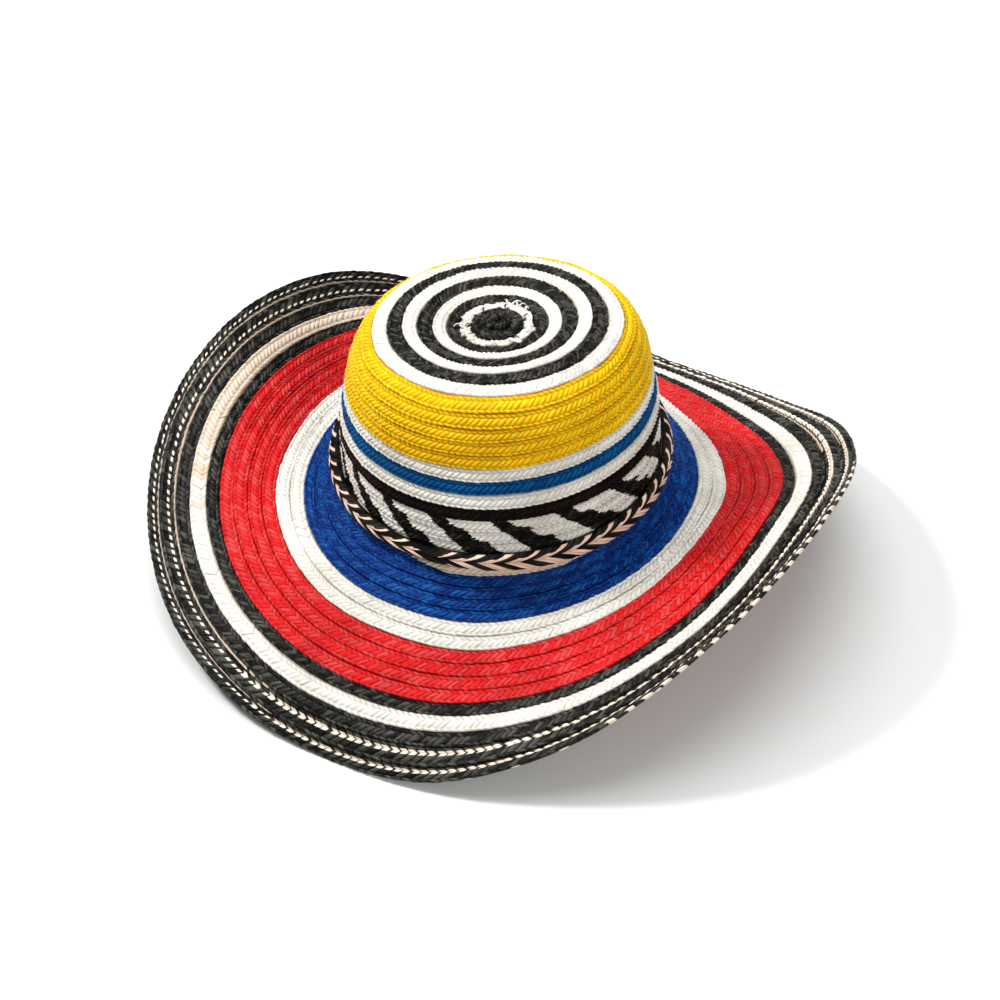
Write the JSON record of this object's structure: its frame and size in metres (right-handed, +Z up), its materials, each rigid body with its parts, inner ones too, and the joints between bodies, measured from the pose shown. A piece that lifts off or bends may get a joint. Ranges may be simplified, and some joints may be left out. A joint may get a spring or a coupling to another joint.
{
  "type": "vueltiao hat",
  "caption": "Woven cane straw hat with a round crown, a wide saddle-shaped brim in striped dyed turns, and a plaited hatband.",
  "frame": {"origin": "on the level that the hat stands on, under the middle of its box", "axes": "+Z up, +X to the right of the side that the pattern is seen from, +Y away from it"},
  "size_m": [0.3992, 0.4148, 0.1625],
  "materials": {
    "natural_straw": "matte natural cane straw",
    "white_straw": "matte bleached cane straw",
    "black_straw": "dyed cane straw, slight sheen",
    "brown_straw": "dyed cane straw, slight sheen",
    "yellow_straw": "dyed cane straw, slight sheen",
    "azure_straw": "dyed cane straw, slight sheen",
    "blue_straw": "dyed cane straw, slight sheen",
    "red_straw": "dyed cane straw, slight sheen"
  },
  "bodies": {
    "root": {"crown_button": "black_straw", "top_white_ring_1": "natural_straw", "top_black_ring_1": "black_straw", "top_white_ring_2": "white_straw", "top_black_ring_2": "black_straw", "top_white_ring_3": "white_straw", "top_black_ring_3": "black_straw", "top_white_ring_4": "white_straw", "crown_yellow": "yellow_straw", "crown_white_upper": "white_straw", "crown_blue": "azure_straw", "crown_white_lower": "white_straw", "crown_black": "brown_straw", "crown_pattern_band": "white_straw", "hatband": "black_straw", "brim_white_inner": "natural_straw", "brim_blue": "blue_straw", "brim_white": "white_straw", "brim_red": "red_straw", "brim_black": "black_straw", "brim_natural": "white_straw", "brim_outer_1": "black_straw", "brim_outer_2": "black_straw", "brim_edge": "black_straw"}
  },
  "joints": []
}
